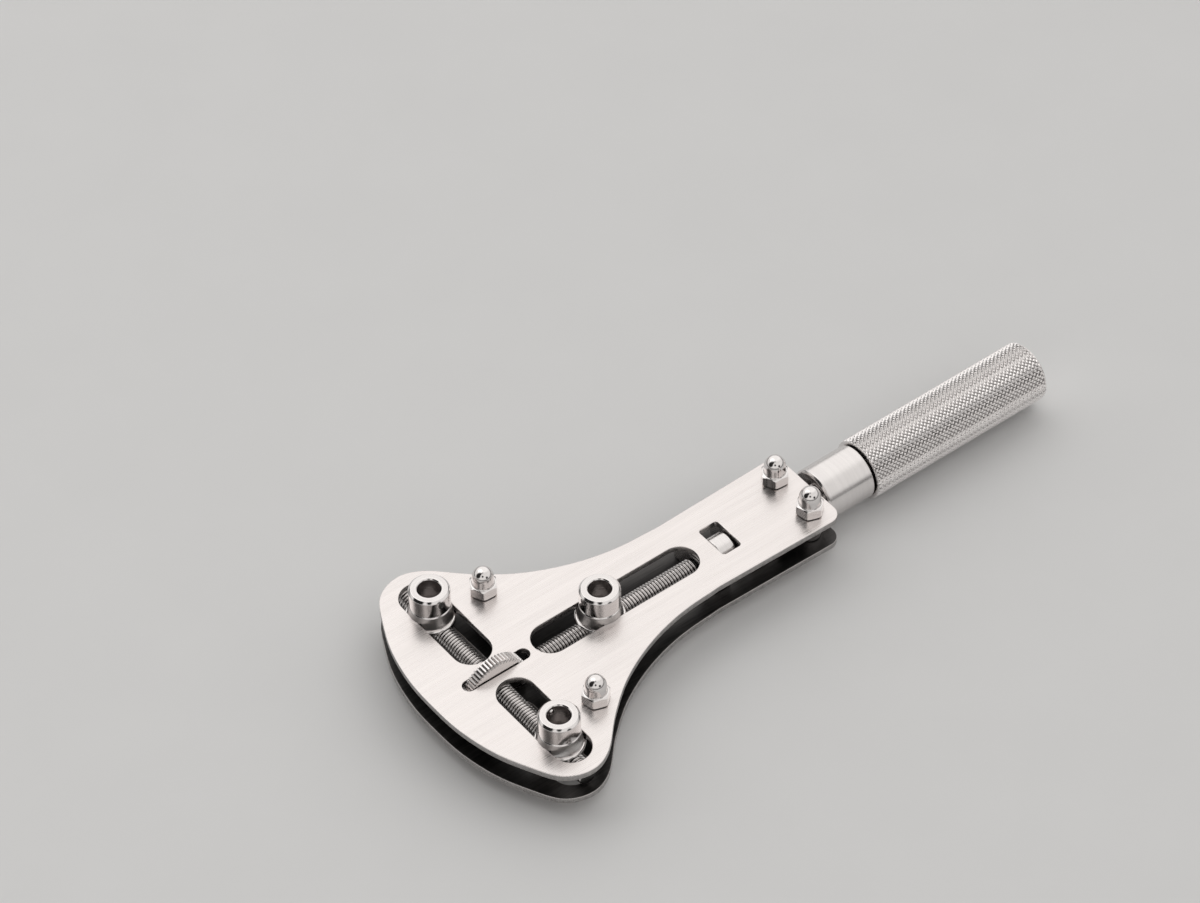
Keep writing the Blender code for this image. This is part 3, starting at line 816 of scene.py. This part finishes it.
def wire_coil(name, radius, wire, length, turns):
    """A round wire wound about Z, from 0 to length."""
    shape = bmesh.new()
    rings = []
    for i in range(SMALL + 1):
        turn = 2 * math.pi * turns * i / SMALL
        outward = Vector((math.cos(turn), math.sin(turn), 0))
        centre = outward * radius + Vector((0, 0, length * i / SMALL))
        rings.append([shape.verts.new(centre + outward * x + Vector((0, 0, y)))
                      for x, y in circle(wire, 8)])
    for first, second in zip(rings, rings[1:]):
        for i in range(8):
            j = (i + 1) % 8
            shape.faces.new([first[i], first[j], second[j], second[i]])
    shape.faces.new(rings[0][::-1])
    shape.faces.new(rings[-1])
    return to_mesh(name, shape)


# Detent spring: where it starts from the ball's middle, its radius, wire radius, turns
# and how far short of its plug it ends
SPRING_START = 0.64
SPRING_RADIUS = 0.5
WIRE_RADIUS = 0.035
SPRING_TURNS = 1.2
SPRING_GAP = 0.06


def build_detent(side, outward):
    """A jaw's detent ball, and the one-turn spring that is squeezed between it and its plug."""
    ball, spring, plug = (f"jaw_{side}_{part}" for part in ("ball", "spring", "plug"))
    radius = half_size(ball).z
    arch = [(radius * math.sin(math.radians(a)), radius * math.cos(math.radians(a)))
            for a in range(0, 181, 12)]
    piece = new_object(ball + "_polished", lathe(ball, arch, SMALL, 0), middle(ball))
    finish_piece(piece, BRIGHT, f"detent_{side}", [ball])
    near = middle(ball) + outward * SPRING_START
    seat = (middle(plug) - near).dot(outward) - abs(half_size(plug).dot(outward))
    coil = wire_coil(spring, SPRING_RADIUS, WIRE_RADIUS, seat - SPRING_GAP, SPRING_TURNS)
    piece = new_object(spring + "_wound", coil, near, outward.to_track_quat("Z", "Y").to_euler())
    finish_piece(piece, BRIGHT, (f"jaw_{side}", f"detent_{side}"), [spring],
                 ends=((near + outward * (seat - 0.05)) * MM, near * MM))


# ---------------------------------------------------------------- handle

def along_x(node):
    """A node's two ends along the handle, from the front screw's axis."""
    return low_corner(node).x - FRONT_X, high_corner(node).x - FRONT_X


def handle_piece(node, suffix, section, material, segments=FINE, rounding=0.12, cuts=()):
    """A piece turned about the handle's axis."""
    piece = new_object(f"{node}_{suffix}", lathe(node, section, segments, rounding),
                       (FRONT_X, 0, SCREW_AXIS), ALONG_X)
    for mesh, location, rotation in cuts:
        carve(piece, mesh, location, rotation)
    finish_piece(piece, material, "handle", [node])


# The collar is drawn this much smaller in radius than its CAD solid
COLLAR_EASE = 0.3


def build_collar():
    """The pinned thrust collar in its window."""
    low, high = along_x("thrust_collar")
    outer = half_size("thrust_collar").z - COLLAR_EASE
    section = [(outer - 0.3, high), (outer, high - 0.3), (outer, low + 0.3), (outer - 0.3, low),
               (1.95, low), (1.95, high)]
    drilled = prism("drilled", circle(0.85), -6, 6)
    spot = (FRONT_X + (low + high) / 2, 0, SCREW_AXIS)
    handle_piece("thrust_collar", "polished", section, POLISHED,
                 cuts=[(drilled, spot, ALONG_Y)])


def build_ferrule():
    """The smooth ferrule and the set screw that locks it."""
    low, high = along_x("ferrule")
    outer = half_size("ferrule").z
    section = [(outer - 0.15, high), (outer, high - 0.15), (outer, low + 0.45), (outer - 0.45, low),
               (2.8, low), (2.8, high)]
    tapped = prism("tapped", circle(1.3), 1, 8)
    spot = (FRONT_X + (low + high) / 2, 0, SCREW_AXIS)
    handle_piece("ferrule", "polished", section, POLISHED,
                 cuts=[(tapped, spot, DOWN)])
    node = "set_screw"
    radius, depth = half_size(node).x, SCREW_AXIS - low_corner(node).z
    section = [(0, depth), (radius - 0.15, depth), (radius, depth - 0.15), (radius, 3.0),
               (radius - 0.2, 2.8), (0, 2.8)]
    piece = new_object("set_screw_turned", lathe(node, section, SMALL, 0.05), spot, DOWN)
    carve(piece, prism("socket", hexagon(1.0, 0.02), depth - 1.0, depth + 1), spot, DOWN)
    finish_piece(piece, TURNED, "handle", [node])


def build_knurled_grip():
    """The grip's diamond knurl, cut into a sleeve with rounded ends."""
    node = "knurled_grip"
    low, high = along_x(node)
    outer, bore, rounding = half_size(node).z, 5.3, 0.4
    step = DIAMOND_LENGTH / 4
    count = round((high - low - 0.3) / step)
    begin = (low + high - count * step) / 2

    def radius_at(height, turn):
        across = turn * DIAMONDS_AROUND / (2 * math.pi)
        along = (height - begin) / DIAMOND_LENGTH
        grooves = [abs(value - round(value)) for value in (across + along, across - along)]
        relief = DIAMOND_DEPTH * (1 - min(1.0, 2.4 * min(grooves)))
        inset = max(0.0, rounding - min(height - low, high - height))
        shoulder = rounding - math.sqrt(max(0.0, rounding ** 2 - inset ** 2))
        return outer - max(relief, shoulder) - 0.3 * min(relief, shoulder)

    heights = [low] + [begin + step * i for i in range(count + 1)] + [high]
    shape, rings = grid_rod(node, heights, radius_at, 4 * DIAMONDS_AROUND, split=True)
    sides = len(rings[0])
    turns = [2 * math.pi * i / sides for i in range(sides)]
    inner = [[shape.verts.new((bore * math.cos(a), bore * math.sin(a), z)) for a in turns]
             for z in (low, high)]
    for first, second in ((rings[0], inner[0]), (inner[0], inner[1]), (inner[1], rings[-1])):
        for i in range(sides):
            j = (i + 1) % sides
            shape.faces.new([first[i], first[j], second[j], second[i]])
    piece = new_object("knurled_grip_cut", to_mesh(node, shape), (FRONT_X, 0, SCREW_AXIS), ALONG_X)
    first, last = (low + rounding) * MM, (high - rounding) * MM
    finish_piece(piece, KNURLED, "handle", [node], smooth=False, extra=[
        (CUT, lambda face: not first < face.center.z < last)])


def build_end_cap():
    """The cap that closes the grip's end, with a shallow turned dish."""
    node = "end_cap"
    low, high = along_x(node)
    rim, core, step = half_size(node).z, 5.0, 0.6
    section = [(0, high - 0.12), (1.2, high - 0.12), (2.0, high), (rim - 0.3, high),
               (rim, high - 0.2), (rim, high - step + 0.25), (core, high - step + 0.25),
               (core, low), (0, low)]
    handle_piece(node, "polished", section, POLISHED, rounding=0.08)


# ---------------------------------------------------------------- nodes that stay

def refine_nodes():
    """Weld, bevel and paint the CAD nodes that no piece replaces."""
    shown = {"bearing_block_front": (0.3, TURNED), "bearing_block_rear": (0.3, TURNED),
             "collar_pin": (0.08, TURNED), "grip_core": (0.15, TURNED)}
    for side in ("left", "right", "rear"):
        shown[f"jaw_{side}_plug"] = (0.05, TURNED)
    for node, (width, material) in shown.items():
        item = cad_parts[node]
        for place in item.material_slots:
            place.material = material
        weld = item.modifiers.new("weld", "WELD")
        weld.merge_threshold = 0.0000005
        bevel = item.modifiers.new("bevel", "BEVEL")
        bevel.width = width * MM
        bevel.segments = 2
        bevel.limit_method = "ANGLE"
        bevel.angle_limit = math.radians(40)


# ---------------------------------------------------------------- studio

# The floor lies this far below the screw heads
FLOOR_GAP = 0.03


def build_floor():
    """A wide pale floor just under the tool's screw heads."""
    mesh = bpy.data.meshes.new("floor")
    shape = bmesh.new()
    bmesh.ops.create_grid(shape, x_segments=8, y_segments=8, size=3.0)
    shape.to_mesh(mesh)
    shape.free()
    mesh.materials.append(plain_floor())
    floor = new_object("floor", mesh, (0, 0, -FLOOR_GAP))


def sky_patch(tree, base, direction, inner, outer, value):
    """Lay a soft round patch of one brightness over the sky round a direction."""
    place = tree.nodes.new("ShaderNodeTexCoord")
    dot = tree.nodes.new("ShaderNodeVectorMath")
    dot.operation = "DOT_PRODUCT"
    link(tree, place, "Generated", dot, 0)
    dot.inputs[1].default_value = direction
    node = tree.nodes.new("ShaderNodeMapRange")
    node.interpolation_type = "SMOOTHSTEP"
    node.inputs["From Min"].default_value = math.cos(math.radians(outer))
    node.inputs["From Max"].default_value = math.cos(math.radians(inner))
    tree.links.new(dot.outputs["Value"], node.inputs["Value"])
    keep = math_node(tree, "SUBTRACT", 1.0, node.outputs["Result"])
    lit = math_node(tree, "MULTIPLY", node.outputs["Result"], value)
    return math_node(tree, "ADD", math_node(tree, "MULTIPLY", base, keep), lit)


def sky_direction(turn, elevation):
    """A direction; turn is counted from the camera's side, in degrees."""
    around = math.radians(CAMERA_SIDE + turn)
    up = math.radians(elevation)
    return (math.cos(up) * math.cos(around), math.cos(up) * math.sin(around), math.sin(up))


# Dark and bright patches, set one by one until the reflections looked like the photograph's.
# Each is a turn from the camera's side, elevation, inner and outer size, and brightness.
SKY_PATCHES = [
    (0, 46, 5, 13, 0.02), (48, 24, 8, 14, 0.02), (-62, 36, 19, 28, 0.02), (-68, 60, 13, 23, 0.03),
    (0, 84, 4, 10, 0.25), (180, 47, 28, 54, 1.12),
]


# The key light: turn from the camera's side, elevation, distance, size and power
KEY_TURN = 236
KEY_ELEVATION = 60
KEY_DISTANCE = 0.9
KEY_SIZE = 0.7
KEY_POWER = 0.5


def build_studio():
    """A bright soft tent with darker gaps, which the steel mirrors, and a soft key light."""
    world = bpy.data.worlds.new("studio")
    world.use_nodes = True
    tree = world.node_tree
    background = tree.nodes["Background"]
    place = tree.nodes.new("ShaderNodeTexCoord")
    parts = tree.nodes.new("ShaderNodeSeparateXYZ")
    link(tree, place, "Generated", parts, 0)
    height = tree.nodes.new("ShaderNodeMapRange")
    height.interpolation_type = "SMOOTHSTEP"
    for socket, value in (("From Min", 0.02), ("From Max", 0.36), ("To Min", 0.14), ("To Max", 0.86)):
        height.inputs[socket].default_value = value
    tree.links.new(parts.outputs["Z"], height.inputs["Value"])
    level = height.outputs["Result"]
    for turn, elevation, inner, outer, value in SKY_PATCHES:
        level = sky_patch(tree, level, sky_direction(turn, elevation), inner, outer, value)
    tree.links.new(level, background.inputs["Strength"])
    background.inputs["Color"].default_value = (1.0, 0.985, 0.965, 1.0)
    bpy.context.scene.world = world
    key = bpy.data.lights.new("key", "AREA")
    key.shape = "DISK"
    key.size = KEY_SIZE
    key.energy = KEY_POWER
    light = bpy.data.objects.new("key", key)
    direction = Vector(sky_direction(KEY_TURN, KEY_ELEVATION))
    light.location = direction * KEY_DISTANCE
    light.rotation_euler = direction.to_track_quat("Z", "Y").to_euler()
    bpy.context.scene.collection.objects.link(light)
    bpy.context.scene.view_settings.view_transform = "Standard"
    bpy.context.scene.view_settings.look = "None"


def build_camera():
    """The camera at the photograph's viewing angle and framing."""
    data = bpy.data.cameras.new("camera")
    data.lens = LENS
    data.sensor_width = SENSOR
    data.clip_start = 0.01
    ahead = Vector((math.sin(CAMERA_AZIMUTH), math.cos(CAMERA_AZIMUTH), 0))
    right = Vector((math.cos(CAMERA_AZIMUTH), -math.sin(CAMERA_AZIMUTH), 0))
    forward = ahead * math.cos(CAMERA_ELEVATION) - Vector((0, 0, math.sin(CAMERA_ELEVATION)))
    up = right.cross(forward)
    rolled_right = right * math.cos(CAMERA_ROLL) + up * math.sin(CAMERA_ROLL)
    rolled_up = up * math.cos(CAMERA_ROLL) - right * math.sin(CAMERA_ROLL)
    turn = Matrix((rolled_right, rolled_up, -forward)).transposed()
    camera = bpy.data.objects.new("camera", data)
    camera.location = CAMERA_TARGET - forward * CAMERA_DISTANCE
    camera.rotation_euler = turn.to_euler()
    bpy.context.scene.collection.objects.link(camera)
    bpy.context.scene.camera = camera


build_plates()
for corner in CORNERS:
    build_cap_nut(corner)
    build_bolt(corner)
for screw in BEARING_SCREWS:
    build_bearing_screw(screw)
build_front_screw()
build_thumbwheel()
build_rear_screw()
build_jaw("left", -math.pi / 2)
build_jaw("right", math.pi / 2)
build_jaw("rear", math.pi)
build_collar()
build_ferrule()
build_knurled_grip()
build_end_cap()
refine_nodes()
build_floor()
build_studio()
build_camera()
